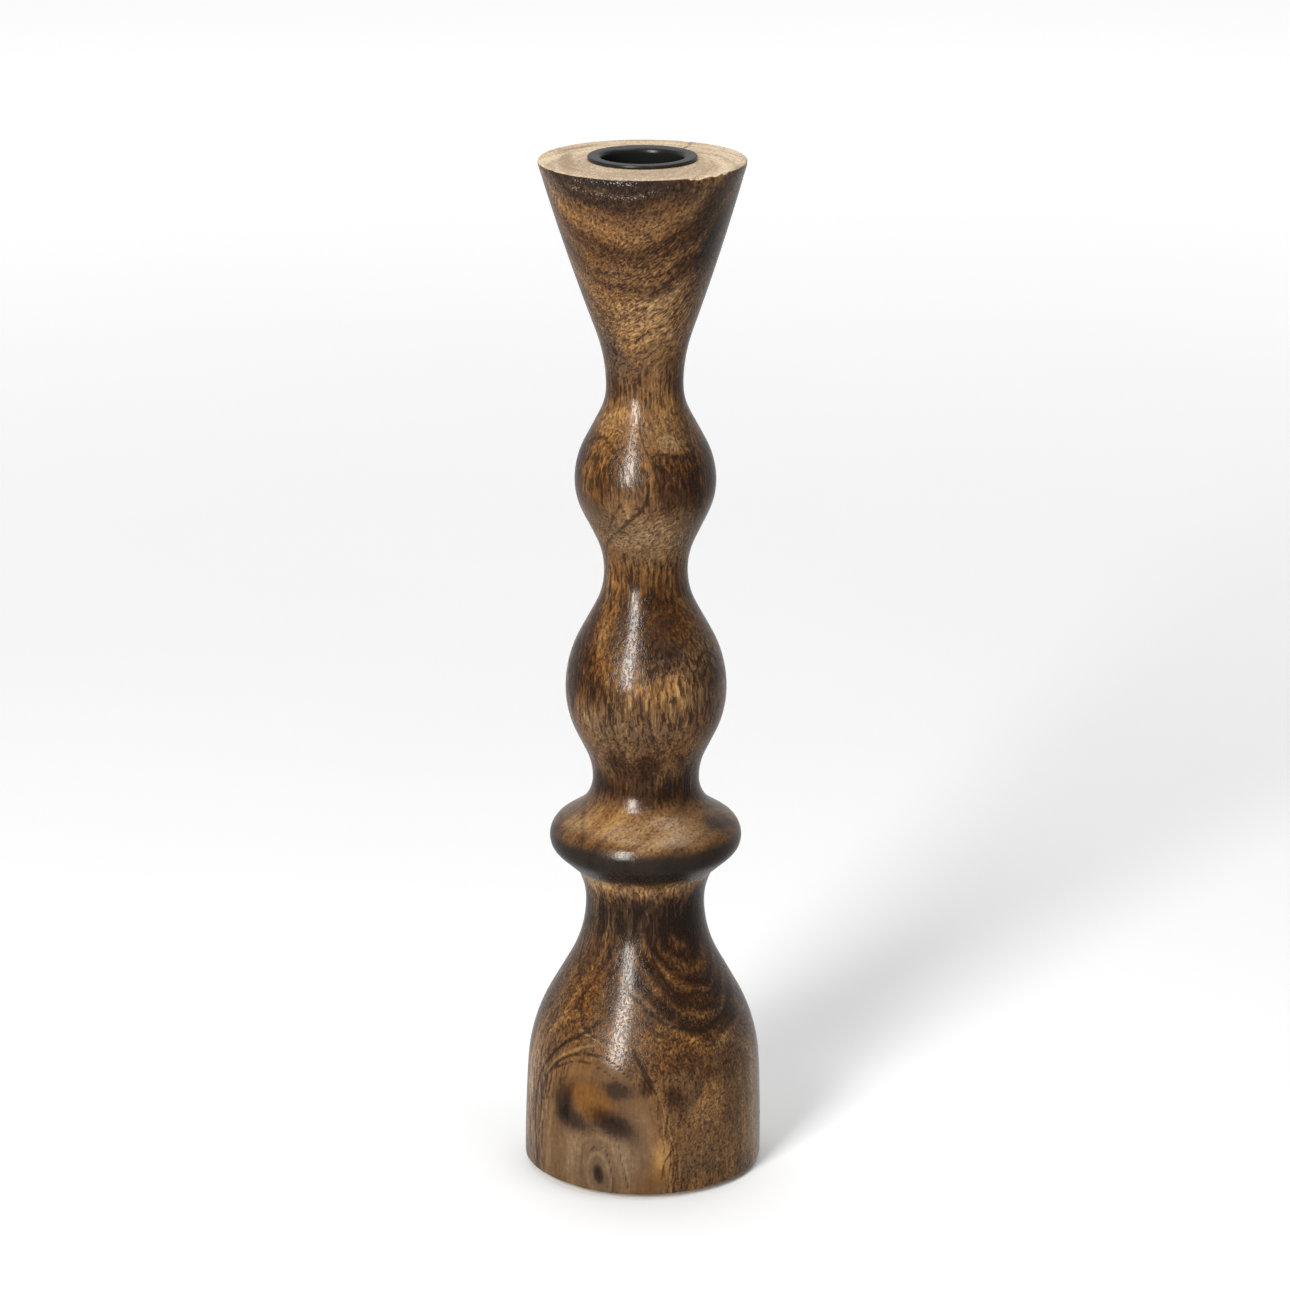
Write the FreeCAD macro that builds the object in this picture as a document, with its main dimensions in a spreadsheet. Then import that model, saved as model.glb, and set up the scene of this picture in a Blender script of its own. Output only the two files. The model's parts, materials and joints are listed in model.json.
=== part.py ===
"""Turned wooden candlestick with a lift-out steel candle cup and felt pads, in millimetres.

+Z is up. The origin is on the table under the axis of the stick, at the faces of the pads.
The wood is one turning: bell foot, waist, collar, two beads and a flared head with a socket.
"""

import FreeCAD, Part

import math
import os

import Sketcher

# Driving dimensions. Heights of the turning are measured from the underside of the wood.
SIZES = {
    "wood_height": 290.0,
    "foot_radius": 33.85,
    "foot_wall_arc": 540.0,
    "foot_wall_height": 28.6,
    "shoulder_arc": 48.5,
    "waist_height": 77.15,
    "waist_radius": 16.8,
    "waist_arc_below": 35.7,
    "waist_arc_above": 19.7,
    "crease_height": 86.9,
    "collar_height": 96.5,
    "collar_radius": 27.1,
    "collar_arc_below": 6.0,
    "collar_arc_above": 6.4,
    "collar_neck_height": 113.7,
    "collar_neck_radius": 14.98,
    "collar_neck_arc_below": 10.8,
    "collar_neck_arc_above": 19.1,
    "lower_bead_height": 140.3,
    "lower_bead_radius": 22.6,
    "lower_bead_arc_below": 28.8,
    "lower_bead_arc_above": 33.5,
    "middle_neck_height": 174.4,
    "middle_neck_radius": 11.65,
    "middle_neck_arc_below": 21.4,
    "middle_neck_arc_above": 21.2,
    "upper_bead_height": 200.3,
    "upper_bead_radius": 19.62,
    "upper_bead_arc_below": 19.6,
    "upper_bead_arc_above": 24.2,
    "head_neck_height": 227.2,
    "head_neck_radius": 10.68,
    "head_neck_arc_below": 16.2,
    "head_neck_arc_above": 46.0,
    "head_flare_arc": 658.0,
    "head_radius": 28.7,
    "head_rim_round": 0.7,
    "foot_rim_round": 0.5,
    "socket_radius": 12.5,
    "socket_depth": 25.0,
    "socket_chamfer": 0.8,
    "cup_bore_radius": 11.2,
    "cup_wall": 1.0,
    "cup_depth": 24.0,
    "cup_floor_round": 1.5,
    "cup_heel_round": 2.5,
    "flange_radius": 15.0,
    "flange_thickness": 1.1,
    "flange_edge_round": 0.5,
    "flange_root_round": 0.5,
    "cup_lip_round": 0.9,
    "pad_radius": 5.0,
    "pad_thickness": 1.5,
    "pad_circle_radius": 25.0,
}
PAD_COUNT = 4
FIRST_PAD_ANGLE = 45.0

# The turning's beads (convex) and coves (concave) between the foot and the head, from the bottom up.
COVE, BEAD = -1, 1
TURNINGS = [
    ("waist", COVE),
    ("collar", BEAD),
    ("collar_neck", COVE),
    ("lower_bead", BEAD),
    ("middle_neck", COVE),
    ("upper_bead", BEAD),
    ("head_neck", COVE),
]

ORIGIN = (-1, 1)  # a sketch's own origin, as (geometry, point)
START, END, CENTRE = 1, 2, 3


def make_sheet(doc):
    """The spreadsheet of driving dimensions, one aliased cell each."""
    sheet = doc.addObject("Spreadsheet::Sheet", "Sizes")
    for row, (alias, value) in enumerate(SIZES.items(), start=1):
        sheet.set(f"A{row}", alias)
        sheet.set(f"B{row}", str(value))
        sheet.setAlias(f"B{row}", alias)
    doc.recompute()
    return sheet


def origin_plane(body, role):
    """One of a body's own origin planes, such as XZ_Plane."""
    return next(feature for feature in body.Origin.OriginFeatures if feature.Role == role)


def new_body(doc, name):
    """An empty PartDesign body whose label names its file."""
    body = doc.addObject("PartDesign::Body", name)
    body.Label = name
    return body


def new_sketch(body, name, role):
    """A sketch on one of the body's own origin planes."""
    sketch = body.newObject("Sketcher::SketchObject", name)
    sketch.AttachmentSupport = [(origin_plane(body, role), "")]
    sketch.MapMode = "FlatFace"
    return sketch


def vector(radius, height):
    """A point of a half-section: radius along the sketch's X, height along its Y."""
    return FreeCAD.Vector(radius, height, 0)


def cell(alias):
    """How a formula names one of the driving dimensions."""
    return f"Sizes.{alias}"


def drive(sketch, kind, *where, size):
    """Adds a dimension to a sketch and binds it to a cell of the spreadsheet."""
    index = sketch.addConstraint(Sketcher.Constraint(kind, *where, SIZES[size]))
    sketch.setExpression(f"Constraints[{index}]", cell(size))


class Outline:
    """Half of a turned section in a sketch, drawn upwards as lines and arcs that meet end to end."""

    def __init__(self, sketch):
        self.sketch = sketch

    def line(self, start, end):
        geometry = self.sketch.addGeometry(Part.LineSegment(vector(*start), vector(*end)), False)
        return {"geometry": geometry, "low": START, "high": END}

    def arc(self, kind, centre, radius, low, high):
        """An arc from its low end to its high end. A bead's centre is inside the wood, a cove's outside."""
        angles = [math.atan2(point[1] - centre[1], point[0] - centre[0]) for point in (low, high)]
        if kind == COVE:
            angles = [angle % (2 * math.pi) for angle in reversed(angles)]
        circle = Part.Circle(vector(*centre), FreeCAD.Vector(0, 0, 1), radius)
        geometry = self.sketch.addGeometry(Part.ArcOfCircle(circle, *angles), False)
        low_point, high_point = (START, END) if kind == BEAD else (END, START)
        return {"geometry": geometry, "low": low_point, "high": high_point}

    def meet(self, lower, upper, smooth):
        """Joins the top of one piece to the bottom of the next, tangentially or at a corner."""
        self.sketch.addConstraint(
            Sketcher.Constraint(
                "Tangent" if smooth else "Coincident",
                lower["geometry"],
                lower["high"],
                upper["geometry"],
                upper["low"],
            )
        )

    def place(self, piece, end, radius=None, height=None):
        """Fixes the radius and the height of one end of a piece."""
        point = (piece["geometry"], piece[end])
        if radius:
            drive(self.sketch, "DistanceX", *ORIGIN, *point, size=radius)
        if height:
            drive(self.sketch, "DistanceY", *ORIGIN, *point, size=height)

    def level(self, piece, end):
        """Keeps an arc's centre level with one of its ends, so that it runs upright there."""
        geometry = piece["geometry"]
        self.sketch.addConstraint(
            Sketcher.Constraint("Horizontal", geometry, CENTRE, geometry, piece[end])
        )


def unit(x, y):
    """The direction (x, y) at length one."""
    size = math.hypot(x, y)
    return x / size, y / size


def tangent_line(lower, upper):
    """The ends of the line that touches two arcs, each given as (kind, centre, radius).

    The line's normal n points away from the axis, and each touching point is
    centre + kind * radius * n, so (upper centre - lower centre) . n = lower - upper signed radius.
    """
    (low_kind, low_centre, low_radius), (high_kind, high_centre, high_radius) = lower, upper
    dx, dy = high_centre[0] - low_centre[0], high_centre[1] - low_centre[1]
    along = math.atan2(dy, dx)
    turn = math.acos((low_kind * low_radius - high_kind * high_radius) / math.hypot(dx, dy))
    normals = [(math.cos(along + s * turn), math.sin(along + s * turn)) for s in (1, -1)]
    nx, ny = max(normals)
    return (
        (low_centre[0] + low_kind * low_radius * nx, low_centre[1] + low_kind * low_radius * ny),
        (high_centre[0] + high_kind * high_radius * nx, high_centre[1] + high_kind * high_radius * ny),
    )


def touching_centre(one, one_reach, other, other_reach, side):
    """The point at given distances from two points, on the left (1) or right (-1) of the way between them."""
    dx, dy = other[0] - one[0], other[1] - one[1]
    gap = math.hypot(dx, dy)
    along = (one_reach**2 - other_reach**2 + gap**2) / (2 * gap)
    off = side * math.sqrt(one_reach**2 - along**2)
    ux, uy = dx / gap, dy / gap
    return one[0] + along * ux - off * uy, one[1] + along * uy + off * ux


def between(centre, radius, towards):
    """The point of a circle that faces another point."""
    ux, uy = unit(towards[0] - centre[0], towards[1] - centre[1])
    return centre[0] + radius * ux, centre[1] + radius * uy


def turning_arcs():
    """Where each bead and cove lies: kind, widest or narrowest point, and the arcs below and above it."""
    arcs = {}
    for name, kind in TURNINGS:
        radius, height = SIZES[f"{name}_radius"], SIZES[f"{name}_height"]
        below, above = SIZES[f"{name}_arc_below"], SIZES[f"{name}_arc_above"]
        arcs[name] = {
            "kind": kind,
            "point": (radius, height),
            "below": (kind, (radius - kind * below, height), below),
            "above": (kind, (radius - kind * above, height), above),
        }
    return arcs


def draw_foot(outline, waist):
    """The foot's bottom, slightly bellied wall and shoulder, up to the waist's cove."""
    radius, wall_arc = SIZES["foot_radius"], SIZES["foot_wall_arc"]
    wall_top_height, shoulder_arc = SIZES["foot_wall_height"], SIZES["shoulder_arc"]
    wall_centre = (radius - wall_arc, 0.0)
    wall_top = (wall_centre[0] + math.sqrt(wall_arc**2 - wall_top_height**2), wall_top_height)
    ux, uy = unit(wall_centre[0] - wall_top[0], wall_centre[1] - wall_top[1])
    shoulder_centre = (wall_top[0] + shoulder_arc * ux, wall_top[1] + shoulder_arc * uy)
    shoulder = (BEAD, shoulder_centre, shoulder_arc)
    shoulder_top, slope_top = tangent_line(shoulder, waist["below"])

    bottom = outline.line((0, 0), (radius, 0))
    wall = outline.arc(BEAD, wall_centre, wall_arc, (radius, 0), wall_top)
    turn = outline.arc(BEAD, shoulder_centre, shoulder_arc, wall_top, shoulder_top)
    slope = outline.line(shoulder_top, slope_top)
    outline.meet(bottom, wall, smooth=False)
    outline.meet(wall, turn, smooth=True)
    outline.meet(turn, slope, smooth=True)
    outline.place(wall, "low", radius="foot_radius")
    outline.level(wall, "low")
    outline.place(wall, "high", height="foot_wall_height")
    drive(outline.sketch, "Radius", wall["geometry"], size="foot_wall_arc")
    drive(outline.sketch, "Radius", turn["geometry"], size="shoulder_arc")
    return bottom, slope, slope_top


def draw_turning(outline, name, turning, low_end, high_end):
    """One bead or cove as two arcs that meet upright at its widest or narrowest point."""
    kind, point = turning["kind"], turning["point"]
    lower = outline.arc(kind, turning["below"][1], turning["below"][2], low_end, point)
    upper = outline.arc(kind, turning["above"][1], turning["above"][2], point, high_end)
    outline.meet(lower, upper, smooth=False)
    outline.place(lower, "high", radius=f"{name}_radius", height=f"{name}_height")
    outline.level(lower, "high")
    outline.level(upper, "low")
    drive(outline.sketch, "Radius", lower["geometry"], size=f"{name}_arc_below")
    drive(outline.sketch, "Radius", upper["geometry"], size=f"{name}_arc_above")
    return lower, upper


def crease_point(waist):
    """Where the flare above the waist meets the collar's underside."""
    _, centre, radius = waist["above"]
    height = SIZES["crease_height"]
    return centre[0] - math.sqrt(radius**2 - (height - centre[1]) ** 2), height


def slope_between(arcs, name, following):
    """The ends of the straight slope from one turning up to the next."""
    if name != "waist":
        return tangent_line(arcs[name]["above"], arcs[following]["below"])
    crease = crease_point(arcs[name])  # the outline's one corner, under the collar
    _, slope_top = tangent_line((BEAD, crease, 0.0), arcs[following]["below"])
    return crease, slope_top


def draw_head(outline, slope, slope_top, neck):
    """The top neck's cove, the head's flare (a very shallow bead), and the flat top in to the axis."""
    sketch = outline.sketch
    flare_arc, rim = SIZES["head_flare_arc"], (SIZES["head_radius"], SIZES["wood_height"])
    _, cove_centre, cove_arc = neck["above"]
    flare_centre = touching_centre(cove_centre, cove_arc + flare_arc, rim, flare_arc, side=1)
    flare_foot = between(cove_centre, cove_arc, flare_centre)
    lower, upper = draw_turning(outline, TURNINGS[-1][0], neck, slope_top, flare_foot)
    flare = outline.arc(BEAD, flare_centre, flare_arc, flare_foot, rim)
    top = outline.line(rim, (0, rim[1]))
    outline.meet(slope, lower, smooth=True)
    outline.meet(upper, flare, smooth=True)
    outline.meet(flare, top, smooth=False)
    drive(sketch, "Radius", flare["geometry"], size="head_flare_arc")
    outline.place(flare, "high", radius="head_radius", height="wood_height")
    sketch.addConstraint(Sketcher.Constraint("Horizontal", top["geometry"]))
    return top


def draw_wood_section(sketch):
    """The whole half-section of the turning, closed along the axis."""
    outline = Outline(sketch)
    arcs = turning_arcs()
    names = [name for name, _ in TURNINGS]

    bottom, slope, slope_top = draw_foot(outline, arcs["waist"])
    for name, following in zip(names, names[1:]):
        next_slope, next_slope_top = slope_between(arcs, name, following)
        lower, upper = draw_turning(outline, name, arcs[name], slope_top, next_slope)
        outline.meet(slope, lower, smooth=True)
        slope = outline.line(next_slope, next_slope_top)
        outline.meet(upper, slope, smooth=name != "waist")
        if name == "waist":
            outline.place(upper, "high", height="crease_height")
        slope_top = next_slope_top
    top = draw_head(outline, slope, slope_top, arcs[names[-1]])

    axis = outline.line((0, SIZES["wood_height"]), (0, 0))
    outline.meet(top, axis, smooth=False)
    for geometry, point in ((bottom["geometry"], START), (axis["geometry"], END)):
        sketch.addConstraint(Sketcher.Constraint("Coincident", geometry, point, *ORIGIN))
    sketch.addConstraint(Sketcher.Constraint("Horizontal", bottom["geometry"]))
    sketch.addConstraint(Sketcher.Constraint("Vertical", axis["geometry"]))


def revolve(body, sketch, name):
    """A full turn of a half-section about the body's own Z axis."""
    turned = body.newObject("PartDesign::Revolution", name)
    turned.Profile = sketch
    turned.ReferenceAxis = (sketch, ["V_Axis"])
    turned.Angle = 360.0
    return turned


def edges_at(shape, radius, height):
    """The names of the circular edges about the axis with this radius at this height."""
    found = []
    for index, edge in enumerate(shape.Edges, start=1):
        curve = edge.Curve
        if isinstance(curve, Part.Circle) and abs(curve.Radius - radius) < 0.01:
            if abs(curve.Center.z - height) < 0.01:
                found.append(f"Edge{index}")
    if not found:
        raise RuntimeError(f"no round edge of radius {radius} at height {height}")
    return found


def dress(body, kind, name, base, radius, height, size):
    """A fillet or chamfer on the round edges of a feature at one radius and height."""
    feature = body.newObject(kind, name)
    feature.Base = (base, edges_at(base.Shape, radius, height))
    feature.setExpression("Radius" if kind.endswith("Fillet") else "Size", cell(size))
    body.Document.recompute()
    return feature


def make_socket(doc, body):
    """The blind hole in the head that the candle cup drops into, with a broken edge."""
    sketch = new_sketch(body, "socket_section", "XY_Plane")
    sketch.setExpression("AttachmentOffset.Base.z", cell("wood_height"))
    circle = Part.Circle(vector(0, 0), FreeCAD.Vector(0, 0, 1), SIZES["socket_radius"])
    hole = sketch.addGeometry(circle, False)
    sketch.addConstraint(Sketcher.Constraint("Coincident", hole, CENTRE, *ORIGIN))
    drive(sketch, "Radius", hole, size="socket_radius")
    pocket = body.newObject("PartDesign::Pocket", "socket")
    pocket.Profile = sketch
    pocket.setExpression("Length", cell("socket_depth"))
    doc.recompute()
    return pocket


def make_turned_body(doc):
    """The wooden stick, standing on its pads."""
    body = new_body(doc, "turned_body")
    section = new_sketch(body, "turning_section", "XZ_Plane")
    draw_wood_section(section)
    doc.recompute()
    turning = revolve(body, section, "turning")
    doc.recompute()
    socket = make_socket(doc, body)
    if not socket.Shape.Volume < turning.Shape.Volume:
        raise RuntimeError("the socket cuts nothing")
    top, mouth = SIZES["wood_height"], SIZES["socket_radius"]
    fillet, chamfer = "PartDesign::Fillet", "PartDesign::Chamfer"
    step = dress(body, chamfer, "socket_mouth", socket, mouth, top, "socket_chamfer")
    step = dress(body, fillet, "head_rim", step, SIZES["head_radius"], top, "head_rim_round")
    dress(body, fillet, "foot_rim", step, SIZES["foot_radius"], 0.0, "foot_rim_round")
    body.setExpression("Placement.Base.z", cell("pad_thickness"))
    return body


def draw_cup_section(sketch):
    """Half of the drawn cup: floor, wall and flange. Height 0 is the flange's underside."""
    bore, wall, depth = (SIZES[key] for key in ("cup_bore_radius", "cup_wall", "cup_depth"))
    flange, thickness = SIZES["flange_radius"], SIZES["flange_thickness"]
    corners = [
        (0, -depth),
        (bore + wall, -depth),
        (bore + wall, 0),
        (flange, 0),
        (flange, thickness),
        (bore, thickness),
        (bore, wall - depth),
        (0, wall - depth),
    ]
    names = ["base", "outside", "underside", "edge", "top", "inside", "floor", "axis"]
    sides = {}
    for name, start, end in zip(names, corners, corners[1:] + corners[:1]):
        sides[name] = sketch.addGeometry(Part.LineSegment(vector(*start), vector(*end)), False)
    order = list(sides.values())
    for side, following in zip(order, order[1:] + order[:1]):
        sketch.addConstraint(Sketcher.Constraint("Coincident", side, END, following, START))
    for name in ("base", "underside", "top", "floor"):
        sketch.addConstraint(Sketcher.Constraint("Horizontal", sides[name]))
    for name in ("outside", "edge", "inside", "axis"):
        sketch.addConstraint(Sketcher.Constraint("Vertical", sides[name]))
    sketch.addConstraint(Sketcher.Constraint("PointOnObject", sides["base"], START, -2))
    sketch.addConstraint(Sketcher.Constraint("PointOnObject", sides["underside"], START, -1))
    drive(sketch, "DistanceX", *ORIGIN, sides["inside"], START, size="cup_bore_radius")
    drive(sketch, "DistanceX", sides["inside"], END, sides["outside"], START, size="cup_wall")
    drive(sketch, "DistanceX", *ORIGIN, sides["edge"], START, size="flange_radius")
    drive(sketch, "DistanceY", *ORIGIN, sides["edge"], END, size="flange_thickness")
    drive(sketch, "DistanceY", sides["base"], END, *ORIGIN, size="cup_depth")
    drive(sketch, "DistanceY", sides["base"], END, sides["inside"], END, size="cup_wall")


def make_candle_cup(doc):
    """The black steel cup, hanging in the socket by its flange."""
    body = new_body(doc, "candle_cup")
    section = new_sketch(body, "cup_section", "XZ_Plane")
    draw_cup_section(section)
    doc.recompute()
    step = revolve(body, section, "drawn_cup")
    doc.recompute()
    bore, wall, depth = (SIZES[key] for key in ("cup_bore_radius", "cup_wall", "cup_depth"))
    flange, thickness = SIZES["flange_radius"], SIZES["flange_thickness"]
    rounds = [
        ("heel", bore + wall, -depth, "cup_heel_round"),
        ("floor_corner", bore, wall - depth, "cup_floor_round"),
        ("flange_root", bore + wall, 0.0, "flange_root_round"),
        ("lip", bore, thickness, "cup_lip_round"),
        ("flange_edge", flange, thickness, "flange_edge_round"),
    ]
    for name, radius, height, size in rounds:
        step = dress(body, "PartDesign::Fillet", name, step, radius, height, size)
    body.setExpression("Placement.Base.z", f"{cell('pad_thickness')} + {cell('wood_height')}")
    return body


def make_pad(doc, number):
    """One round felt pad under the foot."""
    pad = doc.addObject("Part::Cylinder", f"felt_pad_{number}")
    pad.Label = f"felt_pad_{number}"
    pad.setExpression("Radius", cell("pad_radius"))
    pad.setExpression("Height", cell("pad_thickness"))
    angle = FIRST_PAD_ANGLE + (number - 1) * 360.0 / PAD_COUNT
    pad.setExpression("Placement.Base.x", f"{cell('pad_circle_radius')} * cos({angle} deg)")
    pad.setExpression("Placement.Base.y", f"{cell('pad_circle_radius')} * sin({angle} deg)")
    return pad


def check(doc, subparts):
    """Stops if any object failed, a sketch is loose, or a sub-part isn't one valid solid."""
    for item in doc.Objects:
        if {"Invalid", "Error"} & set(item.State):
            raise RuntimeError(f"{item.Name} failed: {item.State}")
        if item.TypeId == "Sketcher::SketchObject" and not item.FullyConstrained:
            raise RuntimeError(f"{item.Name} isn't fully constrained")
    for subpart in subparts:
        shape = subpart.Shape
        if shape.isNull() or not shape.isValid() or len(shape.Solids) != 1:
            raise RuntimeError(f"{subpart.Label} isn't one valid solid")


def export(subparts):
    """Writes one STEP file for each sub-part."""
    os.makedirs("parts", exist_ok=True)
    for subpart in subparts:
        subpart.Shape.exportStep(f"parts/{subpart.Label}.step")
        box = subpart.Shape.optimalBoundingBox(False)
        volume = subpart.Shape.Volume / 1000.0
        print(
            f"{subpart.Label}: {box.XLength:.2f} x {box.YLength:.2f} x {box.ZLength:.2f} mm, "
            f"z {box.ZMin:.2f} to {box.ZMax:.2f}, {volume:.2f} cm3"
        )


def main():
    doc = FreeCAD.newDocument("candlestick")
    make_sheet(doc)
    subparts = [make_turned_body(doc), make_candle_cup(doc)]
    subparts += [make_pad(doc, number) for number in range(1, PAD_COUNT + 1)]
    doc.recompute()
    check(doc, subparts)
    export(subparts)


main()
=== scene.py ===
"""A turned wooden candlestick: figured varnished wood, a black steel candle cup and four felt dots."""

import json
import math

import bpy
import numpy as np
from bpy.props import FloatProperty, FloatVectorProperty, IntProperty, PointerProperty
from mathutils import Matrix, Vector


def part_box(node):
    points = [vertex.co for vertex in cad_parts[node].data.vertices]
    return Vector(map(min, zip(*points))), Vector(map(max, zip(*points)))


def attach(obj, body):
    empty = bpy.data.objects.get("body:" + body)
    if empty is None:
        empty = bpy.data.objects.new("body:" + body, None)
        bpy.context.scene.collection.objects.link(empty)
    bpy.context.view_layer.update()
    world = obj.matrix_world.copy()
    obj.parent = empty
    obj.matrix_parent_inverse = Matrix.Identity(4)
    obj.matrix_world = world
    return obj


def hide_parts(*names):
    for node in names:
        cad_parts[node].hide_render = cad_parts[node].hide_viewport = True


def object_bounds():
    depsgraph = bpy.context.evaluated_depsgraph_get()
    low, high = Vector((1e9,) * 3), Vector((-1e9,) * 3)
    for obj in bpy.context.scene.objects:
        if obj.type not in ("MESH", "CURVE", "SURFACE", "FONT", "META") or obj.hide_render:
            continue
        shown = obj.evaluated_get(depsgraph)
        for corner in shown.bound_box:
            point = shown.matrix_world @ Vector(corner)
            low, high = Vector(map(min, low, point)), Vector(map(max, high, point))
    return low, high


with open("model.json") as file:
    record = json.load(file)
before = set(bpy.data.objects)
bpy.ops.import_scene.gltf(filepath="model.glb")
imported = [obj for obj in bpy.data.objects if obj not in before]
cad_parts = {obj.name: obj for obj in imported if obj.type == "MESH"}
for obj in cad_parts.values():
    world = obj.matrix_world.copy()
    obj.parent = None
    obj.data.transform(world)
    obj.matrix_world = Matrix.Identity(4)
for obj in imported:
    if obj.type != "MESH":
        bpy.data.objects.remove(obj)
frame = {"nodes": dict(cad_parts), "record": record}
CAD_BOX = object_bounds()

bl_info = {
    "name": "Wooden Candlestick",
    "version": (1, 0, 0),
    "blender": (4, 5, 0),
    "location": "View3D > Sidebar > Candlestick",
    "description": "Dresses a turned candlestick: figured wood, candle cup, felt dots and studio",
    "category": "Object",
}

MM = 0.001
HEAD_RADIUS = 28.7  # of the head's flat top, in mm
SOCKET_DEPTH = 25.0 * MM  # from the head's top to the floor of the cup's socket
SOCKET_GAP = 1.3 * MM  # from the cup's bore to the wall of the socket
MARK_DEPTH, MARK_RADIUS = 2.0 * MM, 2.1 * MM  # the lathe's centre mark in the underside
SOCKET = next(m for m in frame["record"]["mounts"] if m["name"] == "candle_socket")
BORE_RADIUS = SOCKET["dims"]["r_mm"] * MM
CUP_LOW, CUP_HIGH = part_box("candle_cup")
WOOD_LOW, WOOD_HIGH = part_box("turned_body")
PADS = sorted(name for name in frame["nodes"] if name.startswith("felt_pad"))

# ---------------------------------------------------------------------------------- sizes and colours


class WoodSettings(bpy.types.PropertyGroup):
    """Sizes, pores and varnish of the turned wood."""

    columns: IntProperty(name="Columns", description="Vertices round the wood", default=236, min=32)
    rows: IntProperty(name="Rows", description="Rings of vertices up its side", default=360, min=64)
    bow: FloatProperty(
        name="Bow",
        description="How far the middle of the stick leans to the right of its ends",
        default=1.0 * MM,
        unit="LENGTH",
    )
    rim_round: FloatProperty(
        name="Rim round",
        description="Radius of the sanded edge of the head",
        default=0.5 * MM,
        unit="LENGTH",
    )
    pith_offset: FloatProperty(
        name="Pith offset",
        description="Distance from the axis of the stick to the heart of the tree",
        default=45.0 * MM,
        unit="LENGTH",
    )
    pore_length: FloatProperty(
        name="Pore length",
        description="How many times longer than wide a pore is",
        default=9.0,
    )
    lean: FloatProperty(
        name="Lean",
        description="Lean of the pores where the grain crosses the stick",
        default=math.radians(-48.0),
        subtype="ANGLE",
    )
    gloss: FloatProperty(
        name="Varnish gloss",
        description="Weight of the clear varnish over the stained wood",
        default=0.05,
        subtype="FACTOR",
        min=0.0,
        max=1.0,
    )


class CupSettings(bpy.types.PropertyGroup):
    """Sizes and colour of the candle cup."""

    columns: IntProperty(name="Columns", description="Vertices round the cup", default=192, min=32)
    wall: FloatProperty(
        name="Wall", description="Thickness of the drawn steel", default=1.0 * MM, unit="LENGTH"
    )
    lip_round: FloatProperty(
        name="Lip round", description="Radius of the rolled lip", default=1.7 * MM, unit="LENGTH"
    )
    enamel: FloatVectorProperty(
        name="Enamel",
        description="Colour of the black enamel",
        default=(0.012, 0.012, 0.0115),
        subtype="COLOR",
    )


class FeltSettings(bpy.types.PropertyGroup):
    """Sizes and colour of the felt dots."""

    fuzz: FloatProperty(
        name="Fuzz",
        description="How uneven the felt's cut edge and face are",
        default=0.12 * MM,
        unit="LENGTH",
    )
    colour: FloatVectorProperty(
        name="Felt", description="Colour of the felt", default=(0.075, 0.05, 0.034), subtype="COLOR"
    )


class StudioSettings(bpy.types.PropertyGroup):
    """Camera and lights."""

    camera_distance: FloatProperty(
        name="Camera distance",
        description="Horizontal distance from the camera to the stick",
        default=1.2316,
        unit="LENGTH",
    )
    camera_height: FloatProperty(
        name="Camera height",
        description="Height of the camera above the table",
        default=0.5319,
        unit="LENGTH",
    )
    camera_tilt: FloatProperty(
        name="Camera tilt",
        description="How far the camera looks down",
        default=math.radians(17.07),
        unit="ROTATION",
    )
    lens: FloatProperty(name="Lens", description="Focal length in millimetres", default=128.5)
    key_strength: FloatProperty(
        name="Key light", description="Brightness of the tall softbox", default=25.0
    )
    side_strength: FloatProperty(
        name="Side light", description="Brightness of the high softbox on the right", default=2.5
    )
    top_strength: FloatProperty(
        name="Top light", description="Brightness of the softbox above and behind", default=2.4
    )
    front: FloatProperty(name="Front", description="Brightness of the room in front", default=0.15)
    backdrop: FloatProperty(name="Backdrop", description="Brightness of the room behind", default=0.5)


# ------------------------------------------------------------------------------------- shader writing


class Value:
    """A shader socket. Arithmetic on it adds the Math nodes that work it out."""

    def __init__(self, finish, socket):
        self.finish = finish
        self.socket = socket

    def __add__(self, other):
        return self.finish.math("ADD", self, other)

    __radd__ = __add__

    def __sub__(self, other):
        return self.finish.math("SUBTRACT", self, other)

    def __rsub__(self, other):
        return self.finish.math("SUBTRACT", other, self)

    def __mul__(self, other):
        return self.finish.math("MULTIPLY", self, other)

    __rmul__ = __mul__


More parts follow.
